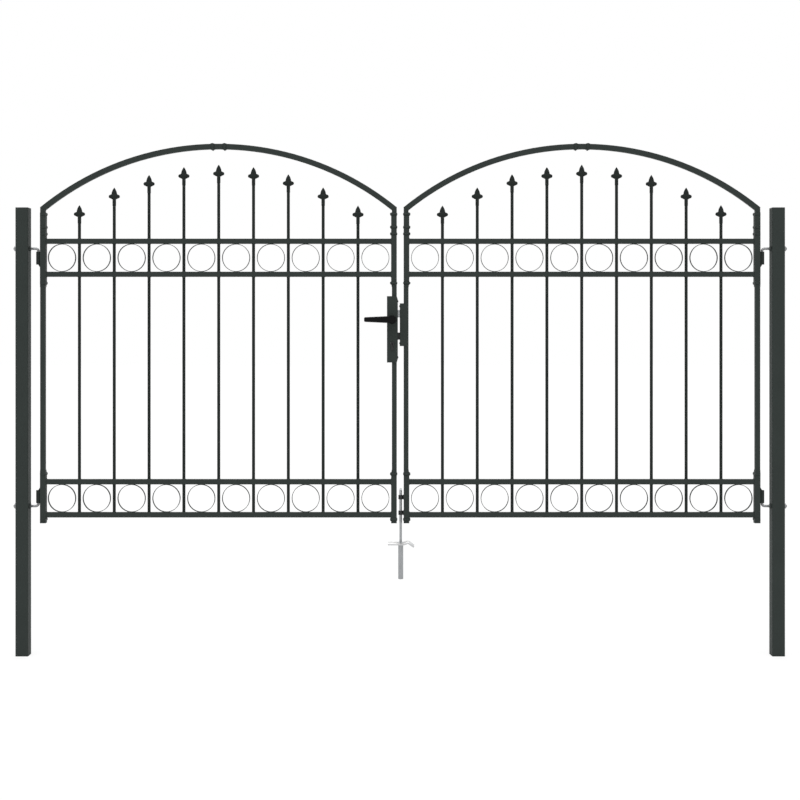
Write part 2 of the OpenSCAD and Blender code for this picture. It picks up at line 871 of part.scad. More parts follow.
// Drop bolt in two guide eyes
module guide_eyes() {
    for (z = [upper_eye_up, lower_eye_up])
        translate([leaf_w, 0, leaf_bottom + z]) difference() {
            union() {
                translate([drop_set, 0, 0]) cylinder(d = eye_d, h = eye_h);
                translate([0, -eye_lug / 2, 0]) cube([drop_set, eye_lug, eye_h]);
            }
            translate([drop_set, 0, -over])
                cylinder(d = drop_d + 2 * eye_play, h = eye_h + 2 * over);
        }
}

module drop_rod_shape() {
    grip_z = drop_top - drop_d / 2;
    translate([drop_x, 0, drop_bottom]) chamfered_rod(drop_d, grip_z - drop_bend - drop_bottom);
    translate([drop_x, drop_bend, grip_z - drop_bend]) rotate([90, 0, -90])
        rotate_extrude(angle = 90) translate([drop_bend, 0]) circle(d = drop_d);
    translate([drop_x, drop_grip, grip_z]) rotate([90, 0, 0])
        chamfered_rod(drop_d, drop_grip - drop_bend);
}

// Socket in the ground, with an anchor strap at its rim
module socket_shape() {
    translate([drop_x, 0, socket_top - socket_l]) difference() {
        chamfered_rod(socket_d, socket_l);
        translate([0, 0, anchor_t]) cylinder(d = drop_d + 2 * socket_play, h = socket_l);
    }
}

module anchor_shape() {
    tops = concat([[-flat_wing, 0]], bent_wing);
    turns = [for (i = [len(tops) - 1 : -1 : 0]) [tops[i][0], tops[i][1] - anchor_t]];
    translate([drop_x, 0, socket_top - rim_up]) difference() {
        across(anchor_w) polygon(concat(tops, turns));
        cylinder(d = socket_d + 2 * shank_play, h = 4 * anchor_t, center = true);
    }
}

// Sub-parts
module left_post() { color(coat) post(); }
module right_post() { color(coat) right_side() post(); }
module left_post_cap() { color(coat) post_cap(); }
module right_post_cap() { color(coat) right_side() post_cap(); }
module left_hinge_bolts() { color(zinc) hinge_bolts(); }
module right_hinge_bolts() { color(zinc) right_side() hinge_bolts(); }
module left_hinge_nuts() { color(coat) hinge_nuts(); }
module right_hinge_nuts() { color(coat) right_side() hinge_nuts(); }
module ground_socket() { color(zinc) socket_shape(); }
module socket_anchor() { color(bright) anchor_shape(); }

module left_hinge_stile() { color(coat) left_leaf() stile(); }
module left_meeting_stile() {
    color(coat) left_leaf() difference() {
        at_meeting_end() stile();
        translate([leaf_w - 2 * stile_w, -tube, case_z]) cube([4 * stile_w, 2 * tube, case_h]);
    }
}
module left_arch() { color(coat) left_leaf() arch(); }
module left_arch_splice() { color(coat) left_leaf() arch_splice(); }
module left_upper_rails() { color(coat) left_leaf() upper_rails(); }
module left_lower_rails() { color(coat) left_leaf() lower_rails(); }
module left_pickets() { color(coat) left_leaf() pickets(); }
module left_spear_tips() { color(coat) left_leaf() spear_tips(); }
module left_upper_rings() { color(coat) left_leaf() upper_rings(); }
module left_lower_rings() { color(coat) left_leaf() lower_rings(); }
module left_stile_sleeves() { color(coat) left_leaf() stile_sleeves(); }
module left_hinge_barrels() { color(coat) left_leaf() hinge_barrels(); }
module lock_case() { color(coat) left_leaf() lock_case_shape(); }
module lock_cylinder() { color(zinc) left_leaf() lock_cylinder_shape(); }
module lever_rosettes() { color(black) left_leaf() rosettes(); }

module right_hinge_stile() { color(coat) right_leaf() stile(); }
module right_meeting_stile() { color(coat) right_leaf() at_meeting_end() stile(); }
module right_arch() { color(coat) right_leaf() arch(); }
module right_arch_splice() { color(coat) right_leaf() arch_splice(); }
module right_upper_rails() { color(coat) right_leaf() upper_rails(); }
module right_lower_rails() { color(coat) right_leaf() lower_rails(); }
module right_pickets() { color(coat) right_leaf() pickets(); }
module right_spear_tips() { color(coat) right_leaf() spear_tips(); }
module right_upper_rings() { color(coat) right_leaf() upper_rings(); }
module right_lower_rings() { color(coat) right_leaf() lower_rings(); }
module right_stile_sleeves() { color(coat) right_leaf() stile_sleeves(); }
module right_hinge_barrels() { color(coat) right_leaf() hinge_barrels(); }
module strike_channel() { color(coat) right_leaf() strike_shape(); }
module drop_bolt_guides() { color(black) right_leaf() guide_eyes(); }

module lever_handle() { color(black) left_leaf() lever_pair(); }
module latch_bolt() { color(zinc) left_leaf() latch_shape(); }
module dead_bolt() { color(coat) left_leaf() dead_bolt_shape(); }
module drop_rod() { color(zinc) drop_rod_shape(); }

left_post();
right_post();
left_post_cap();
right_post_cap();
left_hinge_bolts();
right_hinge_bolts();
left_hinge_nuts();
right_hinge_nuts();
ground_socket();
socket_anchor();
left_hinge_stile();
left_meeting_stile();
left_arch();
left_arch_splice();
left_upper_rails();
left_lower_rails();
left_pickets();
left_spear_tips();
left_upper_rings();
left_lower_rings();
left_stile_sleeves();
left_hinge_barrels();
lock_case();
lock_cylinder();
lever_rosettes();
right_hinge_stile();
right_meeting_stile();
right_arch();
right_arch_splice();
right_upper_rails();
right_lower_rails();
right_pickets();
right_spear_tips();
right_upper_rings();
right_lower_rings();
right_stile_sleeves();
right_hinge_barrels();
strike_channel();
drop_bolt_guides();
lever_handle();
latch_bolt();
dead_bolt();
drop_rod();
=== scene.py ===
import math

import bmesh
import bpy
from mathutils import Matrix, Vector


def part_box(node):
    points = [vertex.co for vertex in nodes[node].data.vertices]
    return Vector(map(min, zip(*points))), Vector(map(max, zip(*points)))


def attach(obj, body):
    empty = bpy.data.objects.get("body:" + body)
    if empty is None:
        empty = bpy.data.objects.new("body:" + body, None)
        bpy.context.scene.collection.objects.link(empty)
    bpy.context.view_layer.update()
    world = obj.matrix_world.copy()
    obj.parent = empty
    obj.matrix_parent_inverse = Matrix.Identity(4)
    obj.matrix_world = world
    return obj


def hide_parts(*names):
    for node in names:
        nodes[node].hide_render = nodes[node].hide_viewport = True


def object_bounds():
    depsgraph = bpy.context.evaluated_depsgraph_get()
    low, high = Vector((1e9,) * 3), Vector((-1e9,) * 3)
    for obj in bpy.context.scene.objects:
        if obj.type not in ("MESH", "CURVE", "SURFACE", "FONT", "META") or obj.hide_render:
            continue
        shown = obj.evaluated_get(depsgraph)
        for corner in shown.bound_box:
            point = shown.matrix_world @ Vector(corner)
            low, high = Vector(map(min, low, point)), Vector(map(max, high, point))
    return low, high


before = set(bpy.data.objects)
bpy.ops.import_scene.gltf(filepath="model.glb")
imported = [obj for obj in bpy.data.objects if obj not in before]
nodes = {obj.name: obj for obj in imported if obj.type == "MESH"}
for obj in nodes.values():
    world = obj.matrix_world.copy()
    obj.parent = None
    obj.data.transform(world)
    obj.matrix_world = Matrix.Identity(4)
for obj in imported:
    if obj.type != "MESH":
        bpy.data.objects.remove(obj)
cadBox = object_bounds()
mm = 0.001
inwards = {"left": 1, "right": -1}  # from each post towards the gate's middle, along X
print("frame loaded, nodes:", len(nodes))


# Shader nodes

class Wire:
    # one output of a shader node, so that sums on it read as plain Python
    def __init__(self, bench, output):
        self.bench = bench
        self.output = output

    def work(self, operation, first, second=0.0):
        return self.bench.add("ShaderNodeMath", {"operation": operation}, {0: first, 1: second})

    def __add__(self, other):
        return self.work("ADD", self, other)

    def __radd__(self, other):
        return self.work("ADD", other, self)

    def __sub__(self, other):
        return self.work("SUBTRACT", self, other)

    def __mul__(self, other):
        return self.work("MULTIPLY", self, other)

    def __abs__(self):
        return self.work("ABSOLUTE", self)

    def above(self, limit):
        return self.work("GREATER_THAN", self, limit)

    def larger(self, other):
        return self.work("MAXIMUM", self, other)


class Bench:
    # a node tree, the method that puts a node into it, and the nodes that are used more than once
    def __init__(self, tree):
        self.tree = tree
        tree.nodes.clear()

    def add(self, kind, settings=None, sockets=None, output=0):
        node = self.tree.nodes.new(kind)
        for name, value in (settings or {}).items():
            setattr(node, name, value)
        for key, value in (sockets or {}).items():
            if isinstance(value, Wire):
                self.tree.links.new(value.output, node.inputs[key])
            else:
                node.inputs[key].default_value = value
        return Wire(self, node.outputs[output]) if node.outputs else None

    def place(self):
        return self.add("ShaderNodeTexCoord", output="Object")

    def ray(self, kind):
        return self.add("ShaderNodeLightPath", output=kind)

    def part(self, vector, axis):
        return self.add("ShaderNodeSeparateXYZ", sockets={"Vector": vector}, output=axis)

    def ramp(self, value, start, end, first, last):
        return self.add("ShaderNodeMapRange", sockets={
            "Value": value, "From Min": start, "From Max": end, "To Min": first, "To Max": last,
        })

    def noise(self, place, scale, detail):
        return self.add("ShaderNodeTexNoise", sockets={"Vector": place, "Scale": scale, "Detail": detail})

    def blend(self, factor, first, second):
        # sockets 6 and 7 are this node's two colours, and output 2 is the mixed one
        return self.add("ShaderNodeMix", {"data_type": "RGBA"}, {0: factor, 6: first, 7: second}, 2)

    def mottled(self, factor, colour, share):
        return self.blend(factor, opaque(colour, 1 - share), opaque(colour, 1 + share))

    def bump(self, height, strength, distance):
        return self.add("ShaderNodeBump", sockets={
            "Height": height, "Strength": strength, "Distance": distance,
        })

    def surface(self, sockets):
        shader = self.add("ShaderNodeBsdfPrincipled", sockets=sockets)
        self.add("ShaderNodeOutputMaterial", sockets={"Surface": shader})


def newFinish(name):
    material = bpy.data.materials.new(name)
    material.use_nodes = True
    return material, Bench(material.node_tree)


def opaque(colour, level=1.0):
    return tuple(part * level for part in colour) + (1.0,)


# How far a surface faces up, as a share that grows between two slopes
def facingUp(bench, slopes, share):
    facing = bench.add("ShaderNodeNewGeometry", output="Normal")
    return bench.ramp(bench.part(facing, "Z"), *slopes, 0.0, share)


noiseMiddle = 0.5


# Roughness that drifts with the clouds about its middle
def driftingRough(look, clouds):
    return look["rough"] + (clouds - noiseMiddle) * look["roughSpread"]


# Powder coat and mouldings

skinMix = {
    "clouds": 0.6, "grains": 0.4,  # shares of the mottle
    "cloudDetail": 3.0, "grainDetail": 1.0, "peelDetail": 2.0,
    # slopes over which the dust and painted top light grows, and the roughness the dust adds
    "dustAndTopLightSlopes": (0.5, 1.0), "dustAndTopLightRough": 0.3,
}


# A sprayed or moulded skin: fine orange peel, faint clouds of tone, a little dust and painted top light
# where it faces up
def skinFinish(look):
    material, bench = newFinish(look["name"])
    place = bench.place()
    clouds = bench.noise(place, look["cloudScale"], skinMix["cloudDetail"])
    grains = bench.noise(place, look["grainScale"], skinMix["grainDetail"])
    peel = bench.noise(place, look["peelScale"], skinMix["peelDetail"])
    mottle = clouds * skinMix["clouds"] + grains * skinMix["grains"]
    coat = bench.mottled(mottle, look["colour"], look["mottle"])
    # dust and painted light: surfaces that face up are blended lighter
    dustAndTopLight = facingUp(bench, skinMix["dustAndTopLightSlopes"], look["dustAndTopLight"])
    bench.surface({
        "Base Color": bench.blend(dustAndTopLight * clouds, coat, opaque(look["dustAndTopLightColour"])),
        "Roughness": driftingRough(look, clouds) + dustAndTopLight * skinMix["dustAndTopLightRough"],
        "Specular IOR Level": look["gloss"],
        "Normal": bench.bump(peel, look["peelStrength"], look["peelDepth"]),
    })
    return material


powderLook = {
    "name": "anthracitePowderCoat", "colour": (0.0278, 0.0342, 0.0317), "mottle": 0.22,
    "cloudScale": 9.0, "grainScale": 420.0, "dustAndTopLight": 0.18, "dustAndTopLightColour": (0.09, 0.09, 0.085),
    "peelScale": 750.0, "peelStrength": 0.06, "peelDepth": 0.2 * mm,
    "rough": 0.55, "roughSpread": 0.16, "gloss": 0.08,
}
powderCoat = skinFinish(powderLook)
# darker copy of the same powder coat: painted shade for the thin pickets and spears
barCoat = skinFinish({
    **powderLook, "name": "barCoatPaintedShade", "colour": (0.0157, 0.0193, 0.0179), "gloss": 0.06,
})
# darker copy of the same powder coat: painted shade for the hinge barrels
barrelCoat = skinFinish({
    **powderLook, "name": "barrelCoatPaintedShade", "colour": (0.0203, 0.0250, 0.0231),
})
leverBlack = skinFinish({
    "name": "blackLeverGrip", "colour": (0.0038, 0.0038, 0.0041), "mottle": 0.14,
    "cloudScale": 40.0, "grainScale": 900.0, "dustAndTopLight": 0.06, "dustAndTopLightColour": (0.03, 0.03, 0.03),
    "peelScale": 1600.0, "peelStrength": 0.16, "peelDepth": 0.2 * mm,
    "rough": 0.45, "roughSpread": 0.12, "gloss": 0.07,
})
capPlastic = skinFinish({
    "name": "anthraciteCapPlastic", "colour": (0.0165, 0.0185, 0.0180), "mottle": 0.10,
    "cloudScale": 25.0, "grainScale": 700.0, "dustAndTopLight": 0.20, "dustAndTopLightColour": (0.08, 0.08, 0.075),
    "peelScale": 1200.0, "peelStrength": 0.3, "peelDepth": 0.25 * mm,
    "rough": 0.55, "roughSpread": 0.10, "gloss": 0.3,
})


# Plated steel

platedMix = {
    "lines": 0.4, "clouds": 0.6,  # shares of the tone
    "lineDetail": 3.0, "cloudDetail": 4.0, "flatSlopes": (0.93, 0.99),
}


# Drawing lines along the bar and cloudy plating, with a painted shade on flat tops and a darker tone round a
# weld
def platedFinish(look):
    material, bench = newFinish(look["name"])
    place = bench.place()
    drawn = bench.add("ShaderNodeMapping", sockets={"Vector": place, "Scale": look["grainStretch"]})
    lines = bench.noise(drawn, look["lineScale"], platedMix["lineDetail"])
    clouds = bench.noise(place, look["cloudScale"], platedMix["cloudDetail"])
    tone = lines * platedMix["lines"] + clouds * platedMix["clouds"]
    colour = bench.blend(tone, opaque(look["dull"]), opaque(look["bright"]))
    # painted shade: faces that point up get the darker flat tone
    if "flat" in look:
        level = facingUp(bench, platedMix["flatSlopes"], 1.0)
        colour = bench.blend(level, colour, opaque(look["flat"]))
    if "nearSocketTone" in look:
        away = bench.add("ShaderNodeVectorMath", {"operation": "DISTANCE"},
                         {0: place, 1: look["weldPlace"]}, "Value")
        nearness = bench.ramp(away, *look["nearSocketReach"], 1.0, 0.0)
        colour = bench.blend(nearness, colour, opaque(look["nearSocketTone"]))
    bench.surface({
        "Base Color": colour,
        "Roughness": driftingRough(look, clouds),
        "Metallic": look["metal"],
        "Normal": bench.bump(lines, look["lineStrength"], look["lineDepth"]),
    })
    return material


socketLow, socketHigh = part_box("ground_socket")
socketX = (socketLow.x + socketHigh.x) / 2
zincSteel = platedFinish({
    "name": "dullZincPlate", "dull": (0.24, 0.25, 0.255), "bright": (0.40, 0.41, 0.42),
    "grainStretch": (1.0, 1.0, 0.06), "lineScale": 900.0, "cloudScale": 70.0, "metal": 1.0,
    "rough": 0.40, "roughSpread": 0.22, "lineStrength": 0.10, "lineDepth": 0.15 * mm,
})
# darker copy of the zinc plate: painted shade for the hinge bolts
boltZinc = platedFinish({
    "name": "boltZincPaintedShade", "dull": (0.17, 0.175, 0.18), "bright": (0.32, 0.325, 0.33),
    "grainStretch": (0.1, 1.0, 1.0), "lineScale": 900.0, "cloudScale": 110.0, "metal": 1.0,
    "rough": 0.46, "roughSpread": 0.22, "lineStrength": 0.10, "lineDepth": 0.12 * mm,
})
darkZinc = platedFinish({
    "name": "darkPlatedSteel", "dull": (0.012, 0.0125, 0.013), "bright": (0.035, 0.036, 0.037),
    "grainStretch": (1.0, 1.0, 1.0), "lineScale": 800.0, "cloudScale": 120.0, "metal": 0.7,
    "rough": 0.45, "roughSpread": 0.2, "lineStrength": 0.10, "lineDepth": 0.15 * mm,
})
brightZinc = platedFinish({
    "name": "brightGalvanizedStrip", "dull": (0.42, 0.425, 0.43), "bright": (0.60, 0.605, 0.61),
    # painted shade on the strap's upward faces
    "flat": (0.46, 0.46, 0.46),
    "nearSocketTone": (0.33, 0.325, 0.32), "nearSocketReach": (22 * mm, 34 * mm),  # darker zinc within this reach of the socket's weld
    "weldPlace": (socketX, 0.0, socketHigh.z),
    "grainStretch": (0.05, 1.0, 1.0), "lineScale": 700.0, "cloudScale": 90.0, "metal": 1.0,
    "rough": 0.36, "roughSpread": 0.2, "lineStrength": 0.10, "lineDepth": 0.12 * mm,
})


# Nuts dark like the gate's coat on the gate's side of the posts, but bare zinc on the far side of the posts
def nutFinish(look):
    material, bench = newFinish(look["name"])
    place = bench.place()
    clouds = bench.noise(place, look["cloudScale"], look["cloudDetail"])
    bare = abs(bench.part(place, "X") - look["middle"]).above(look["reach"])
    innerTone = bench.mottled(clouds, look["innerTone"], look["mottle"])
    zinc = bench.blend(clouds, opaque(look["dull"]), opaque(look["bright"]))
    bench.surface({
        "Base Color": bench.blend(bare, innerTone, zinc),
        "Roughness": driftingRough(look, clouds),
        "Metallic": bare,
        "Specular IOR Level": look["gloss"],
    })
    return material


gateMiddle = (cadBox[0][0] + cadBox[1][0]) / 2
postLow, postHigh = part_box("left_post")
nutZinc = nutFinish({
    "name": "darkInsideNuts", "innerTone": (0.045, 0.051, 0.049), "mottle": 0.15,
    "dull": (0.20, 0.205, 0.21), "bright": (0.34, 0.345, 0.35), "cloudScale": 140.0, "cloudDetail": 4.0,
    "rough": 0.5, "roughSpread": 0.2, "gloss": 0.08,
    "middle": gateMiddle, "reach": gateMiddle - (postLow.x + postHigh.x) / 2,
})


# Finish of each material slot, and the nodes that aren't plain powder coat

finishes = {
    "powder_coat": powderCoat,
    "zinc_steel": zincSteel,
    "dark_zinc": darkZinc,
    "bright_zinc": brightZinc,
    "lever_black": leverBlack,
    "cap_plastic": capPlastic,
}
nodeFinish = {
    "latch_bolt": zincSteel,
    "drop_rod": zincSteel,
    "lock_cylinder": darkZinc,
    "dead_bolt": darkZinc,
    "drop_bolt_guides": darkZinc,
    "lever_handle": leverBlack,
    "lever_rosettes": leverBlack,
}
for side in inwards:
    nodeFinish[side + "_post_cap"] = capPlastic
    nodeFinish[side + "_pickets"] = barCoat
    nodeFinish[side + "_hinge_barrels"] = barrelCoat
for name, piece in nodes.items():
    piece.data.materials.clear()
    piece.data.materials.append(nodeFinish.get(name, powderCoat))
print("finishes set:", len(finishes))


# Mesh pieces

mergeReach = 0.002 * mm  # corners nearer to each other than this are one
cutReach = 0.001 * mm  # corners nearer to a cut than this lie on it
sharpAngle = math.radians(40)  # edges bent by more than this stay sharp
quarterTurn = math.pi / 2
origin = Vector((0, 0, 0))


def ofKind(geometry, kind):
    return [part for part in geometry if isinstance(part, kind)]


# Each corner with the next one, and the last with the first where the line is closed
def pairs(corners, closed=False):
    return zip(corners, corners[1:] + corners[:1] if closed else corners[1:])


def linkedEdges(corners):
    return list(dict.fromkeys(edge for corner in corners for edge in corner.link_edges))


# The two x of a box, the one that faces away from the gate's middle first
def outerInner(low, high, side):
    return (low.x, high.x) if inwards[side] > 0 else (high.x, low.x)


def meshFrom(bm, name):
    mesh = bpy.data.meshes.new(name)
    bm.to_mesh(mesh)
    bm.free()
    return mesh


def addPiece(bm, name, body, slot, finish=None):
    bmesh.ops.remove_doubles(bm, verts=bm.verts, dist=mergeReach)
    bmesh.ops.recalc_face_normals(bm, faces=bm.faces)
    mesh = meshFrom(bm, name)
    mesh.shade_smooth()
    mesh.set_sharp_from_angle(angle=sharpAngle)
    mesh.materials.append(finish or finishes[slot])
    piece = bpy.data.objects.new(name, mesh)
    bpy.context.scene.collection.objects.link(piece)
    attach(piece, body)
    print("piece:", name, len(mesh.polygons), "faces")
    return piece


# Wide flat faces keep one tone, so that the round edges beside them don't shade across
def plainFaces(piece, area):
    for face in piece.data.polygons:
        face.use_smooth = face.area < area


# Copy of a node's mesh, to reshape into the piece that replaces the node
def nodeCopy(name):
    bm = bmesh.new()
    bm.from_mesh(nodes[name].data)
    bmesh.ops.remove_doubles(bm, verts=bm.verts, dist=mergeReach)
    return bm


# Sets a copy of a mesh into a piece, moved by a matrix
def stamp(bm, pattern, move):
    before = len(bm.verts)
    bm.from_mesh(pattern)
    bmesh.ops.transform(bm, matrix=move, verts=bm.verts[before:])


# Ring turned about an upright axis from points of radius and height, or a solid from an open outline
def turnedRing(bm, place, outline, steps, up=1, closed=True):
    corners = [bm.verts.new(place + Vector((radius, 0, up * height))) for radius, height in outline]
    edges = [bm.edges.new(pair) for pair in pairs(corners, closed)]
    bmesh.ops.spin(bm, geom=corners + edges, cent=place, axis=(0, 0, 1), angle=2 * math.pi, steps=steps,
                   use_merge=True)


# Ball drawn out to the given half axes
def addBall(bm, place, halves, fineness, turn=Matrix.Identity(4)):
    made = bmesh.ops.create_icosphere(bm, subdivisions=fineness, radius=1.0)
    shape = Matrix.Translation(place) @ turn @ Matrix.Diagonal((*halves, 1))
    bmesh.ops.transform(bm, matrix=shape, verts=made["verts"])


# Cuts off what lies beyond a plane, and closes the cut
def cutAway(bm, geometry, place, slope):
    sliced = bmesh.ops.bisect_plane(bm, geom=geometry, dist=cutReach, plane_co=place, plane_no=slope,
                                    clear_outer=True)
    bmesh.ops.edgeloop_fill(bm, edges=ofKind(sliced["geom_cut"], bmesh.types.BMEdge))


# Draws a loop of edges on by one move, and gives the new loop
def drawLoop(bm, edges, move):
    grown = bmesh.ops.extrude_edge_only(bm, edges=edges)["geom"]
    corners = ofKind(grown, bmesh.types.BMVert)
    bmesh.ops.translate(bm, verts=corners, vec=move)
    fresh = set(corners)
    return corners, [edge for edge in ofKind(grown, bmesh.types.BMEdge) if fresh.issuperset(edge.verts)]


# Welds

leafRows = {"pickets": 9, "rings": 10}
bands = ("upper", "lower")
nuggetFineness = 2


def rowPlaces(low, high, size, count):
    return [low + size / 2 + (high - low - size) * i / (count - 1) for i in range(count)]


def picketPlaces(side):
    low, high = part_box(side + "_pickets")
    return rowPlaces(low.x, high.x, high.y - low.y, leafRows["pickets"])


# Boxes of a leaf's four rails, the lowest first
def railTubes(side):
    tubes = []
    for band in bands:
        low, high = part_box(side + "_" + band + "_rails")
        tube = high.y - low.y
        for bottom in (low.z, high.z - tube):
            tubes.append((Vector((low.x, low.y, bottom)), Vector((high.x, high.y, bottom + tube))))
    return sorted(tubes, key=lambda pair: pair[0].z)


# Row of overlapping nuggets, each a little larger or smaller than the last
def weldRun(bm, start, end, bead):
    run = end - start
    count = max(2, round(run.length / bead["step"]))
    turn = run.to_track_quat("X", "Z").to_matrix().to_4x4()
    for i in range(count + 1):
        swell = 1 + bead["swell"] * math.sin(bead["beat"] * i)
        halves = (bead["long"], bead["wide"] * swell, bead["wide"] * swell)
        addBall(bm, start + run * (i / count), halves, nuggetFineness, turn)


# Upright runs on both sides of the two webs that stand at the foot and the top of a box
def webRuns(bm, x, low, high, bead):
    for bottom in (low.z, high.z - bead["tall"]):
        for y in (-bead["web"] / 2, bead["web"] / 2):
            weldRun(bm, Vector((x, y, bottom)), Vector((x, y, bottom + bead["tall"])), bead)


# Outline of a fillet round an upright bar, sunk a little into the bar and the face it stands on
def filletOutline(radius, weld):
    fillet = [(radius + out * mm, rise * mm) for out, rise in weld["swell"]]
    inside = radius - weld["sunk"]
    return [(inside, -weld["sunk"]), (inside, fillet[0][1])] + fillet + [(fillet[-1][0], -weld["sunk"])]


ringWeld = {"halves": (8 * mm, 7 * mm, 1.7 * mm)}


def addRingWelds(side):
    bm = bmesh.new()
    for band in bands:
        low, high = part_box(side + "_" + band + "_rings")
        for x in rowPlaces(low.x, high.x, high.z - low.z, leafRows["rings"]):
            for z in (low.z, high.z):
                addBall(bm, Vector((x, 0, z)), ringWeld["halves"], nuggetFineness)
    addPiece(bm, side + "_ring_welds", side + "_leaf", "powder_coat")


picketWeld = {
    "steps": 16, "sunk": 0.4 * mm,
    "swell": [(0.0, 2.2), (0.5, 2.0), (1.1, 1.0), (2.4, 0.3)],  # out from the picket and up, in mm
}


# On top of every rail, and below all but the lowest
def addPicketWelds(side):
    low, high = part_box(side + "_pickets")
    outline = filletOutline((high.y - low.y) / 2, picketWeld)
    tubes = railTubes(side)
    faces = [(tube[1].z, 1) for tube in tubes] + [(tube[0].z, -1) for tube in tubes[1:]]
    bm = bmesh.new()
    for x in picketPlaces(side):
        for z, up in faces:
            turnedRing(bm, Vector((x, 0, z)), outline, picketWeld["steps"], up)
    addPiece(bm, side + "_picket_welds", side + "_leaf", "powder_coat")


railWeld = {"step": 2.8 * mm, "long": 2.1 * mm, "wide": 1.9 * mm, "swell": 0.12, "beat": 2.4}


# Round both ends of every rail
def addRailWelds(side):
    bm = bmesh.new()
    for low, high in railTubes(side):
        for x in (low.x, high.x):
            corners = [Vector((x, low.y, low.z)), Vector((x, high.y, low.z)),
                       Vector((x, high.y, high.z)), Vector((x, low.y, high.z))]
            for start, end in pairs(corners, closed=True):
                weldRun(bm, start, end, railWeld)
    addPiece(bm, side + "_rail_welds", side + "_leaf", "powder_coat")


mitreWeld = {
    "step": 2.2 * mm, "long": 1.5 * mm, "wide": 0.6 * mm, "swell": 0.12, "beat": 2.4,
    "short": 1.5 * mm,  # kept free at the tube's corners
}


# Round the slanting joints between the arch and its two stiles
def addMitreWelds(side):
    bm = bmesh.new()
    archLow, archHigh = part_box(side + "_arch")
    archMiddle = (archLow.x + archHigh.x) / 2
    for stile in ("hinge", "meeting"):
        low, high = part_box(side + "_" + stile + "_stile")
        inner, outer = sorted((low.x, high.x), key=lambda x: abs(x - archMiddle))
        corners = [Vector((outer, low.y, high.z)), Vector((inner, low.y, archLow.z)),
                   Vector((inner, high.y, archLow.z)), Vector((outer, high.y, high.z))]
        for start, end in pairs(corners, closed=True):
            short = (end - start).normalized() * mitreWeld["short"]
            weldRun(bm, start + short, end - short, mitreWeld)
    addPiece(bm, side + "_mitre_welds", side + "_leaf", "powder_coat")


hingeWeld = {
    "step": 3.0 * mm, "long": 2.4 * mm, "wide": 1.8 * mm, "swell": 0.15, "beat": 2.4,
    "web": 10 * mm, "tall": 64 * mm,
}


def addHingeWelds(side):
    bm = bmesh.new()
    low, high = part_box(side + "_hinge_barrels")
    outer, inner = outerInner(low, high, side)
    webRuns(bm, inner, low, high, hingeWeld)
    addPiece(bm, side + "_hinge_welds", side + "_leaf", "powder_coat")


for side in inwards:
    addRingWelds(side)
    addPicketWelds(side)
    addRailWelds(side)
    addMitreWelds(side)
    addHingeWelds(side)

eyeWeld = {
    "step": 2.6 * mm, "long": 2.0 * mm, "wide": 1.5 * mm, "swell": 0.15, "beat": 2.4,
    "web": 8 * mm, "tall": 16 * mm,
}
bm = bmesh.new()
low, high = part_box("drop_bolt_guides")
webRuns(bm, high.x, low, high, eyeWeld)
addPiece(bm, "guide_welds", "right_leaf", "dark_zinc")

socketWeld = {
    "steps": 40, "sunk": 1.0 * mm,
    "rim": 2.5 * mm,  # from the strap up to the socket's rim
    "swell": [(0.0, 2.4), (1.2, 1.9), (2.8, 1.0), (4.6, 0.3)],  # out from the socket and up, in mm
}
bm = bmesh.new()
outline = filletOutline((socketHigh.y - socketLow.y) / 2, socketWeld)
turnedRing(bm, Vector((socketX, 0, socketHigh.z - socketWeld["rim"])), outline, socketWeld["steps"])
addPiece(bm, "socket_weld", "posts", "zinc_steel")
print("welds made")


# Cast spears: a four-sided leaf blade over a swollen cross with round ends, a neck and a ferrule

castSpear = {
    "tip": 36 * mm, "widest": 9 * mm, "below": 4 * mm,  # heights from the middle of the cross
    "half": 11 * mm, "thick": 6.2 * mm, "rows": 14, "point": 1.9, "sides": 4,  # the blade
    "cross": (19 * mm, 7.5 * mm, 12 * mm), "crossRise": 0.6 * mm,
    "knob": (7.2 * mm, 7.2 * mm, 7.2 * mm), "knobOut": 14.8 * mm, "fineness": 3,
    "ferrule": [(0.0, 2.0), (6.5, 2.0), (6.5, 0.0), (6.95, -11.5), (6.95, -35.0), (6.7, -35.5),
                (6.15, -35.5), (6.15, -19.5), (0.0, -19.5)],  # radius and height in mm
    "steps": 24,
    "reach": 8 * mm,  # half of the width in which a node's tip is looked for
    "drops": (1.0, 4.3, 3.1, 0.3, 0.0, 0.4, 0.7, 3.9, 2.8),  # driven down, from the hinge on, in mm
}


def bladeOutline():
    tip, widest, half = castSpear["tip"], castSpear["widest"], castSpear["half"]
    shares = [i / castSpear["rows"] for i in range(castSpear["rows"] + 1)]
    flank = [(half * (1 - share ** castSpear["point"]), widest + share * (tip - widest)) for share in shares]
    return [(0.0, -castSpear["below"]), (half, -castSpear["below"])] + flank


bm = bmesh.new()
turnedRing(bm, origin, bladeOutline(), castSpear["sides"], closed=False)
bmesh.ops.scale(bm, verts=bm.verts, vec=(1, castSpear["thick"] / castSpear["half"], 1))
addBall(bm, Vector((0, 0, castSpear["crossRise"])), castSpear["cross"], castSpear["fineness"])
for x in (castSpear["knobOut"], -castSpear["knobOut"]):
    addBall(bm, Vector((x, 0, castSpear["crossRise"])), castSpear["knob"], castSpear["fineness"])
ferrule = [(radius * mm, height * mm) for radius, height in castSpear["ferrule"]]
turnedRing(bm, origin, ferrule, castSpear["steps"], closed=False)
spearPattern = meshFrom(bm, "spearPattern")
for side, inward in inwards.items():
    corners = [corner.co for corner in nodes[side + "_spear_tips"].data.vertices]
    bm = bmesh.new()
    for x, drop in zip(picketPlaces(side), castSpear["drops"][::inward]):
        top = max(corner.z for corner in corners if abs(corner.x - x) < castSpear["reach"])
        stamp(bm, spearPattern, Matrix.Translation((x, 0, top - drop * mm - castSpear["tip"])))
    spears = addPiece(bm, side + "_cast_spears", side + "_leaf", "powder_coat", barCoat)
    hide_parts(side + "_spear_tips")
